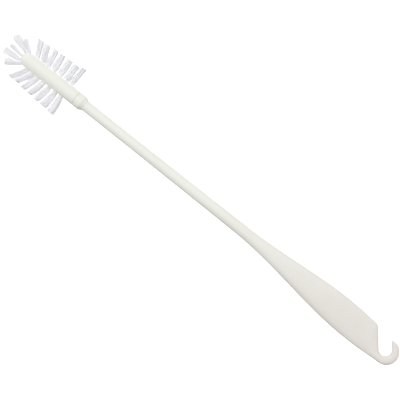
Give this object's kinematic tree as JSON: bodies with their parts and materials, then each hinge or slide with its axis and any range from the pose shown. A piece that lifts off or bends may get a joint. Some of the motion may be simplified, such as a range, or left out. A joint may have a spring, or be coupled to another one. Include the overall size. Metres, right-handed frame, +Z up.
{
  "type": "bottle brush",
  "caption": "Slim bottle brush: moulded stem and crowned grip with a hanging hook, round bristle bar with opposite rows of nylon tufts and a fan at the tip.",
  "frame": {"origin": "on the bench surface, under the middle of the brush's length and width", "axes": "+X along the brush from the bristle tip to the hook, +Y across it on the side where the hook opens, +Z up from the bench"},
  "size_m": [0.4173, 0.0482, 0.013],
  "materials": {
    "moulded_white": "satin moulded polypropylene",
    "bristle": "translucent white nylon filament",
    "staple_wire": "flat galvanised wire"
  },
  "bodies": {
    "root": {"handle": "moulded_white", "brush_bar": "moulded_white", "staples": "staple_wire", "upper_tuft_1": "bristle", "upper_tuft_2": "bristle", "upper_tuft_3": "bristle", "upper_tuft_4": "bristle", "upper_tuft_5": "bristle", "upper_tuft_6": "bristle", "upper_tuft_7": "bristle", "lower_tuft_1": "bristle", "lower_tuft_2": "bristle", "lower_tuft_3": "bristle", "lower_tuft_4": "bristle", "lower_tuft_5": "bristle", "lower_tuft_6": "bristle", "lower_tuft_7": "bristle", "tip_tuft_1": "bristle", "tip_tuft_2": "bristle", "tip_tuft_3": "bristle", "tip_tuft_4": "bristle", "tip_tuft_5": "bristle"}
  },
  "joints": []
}
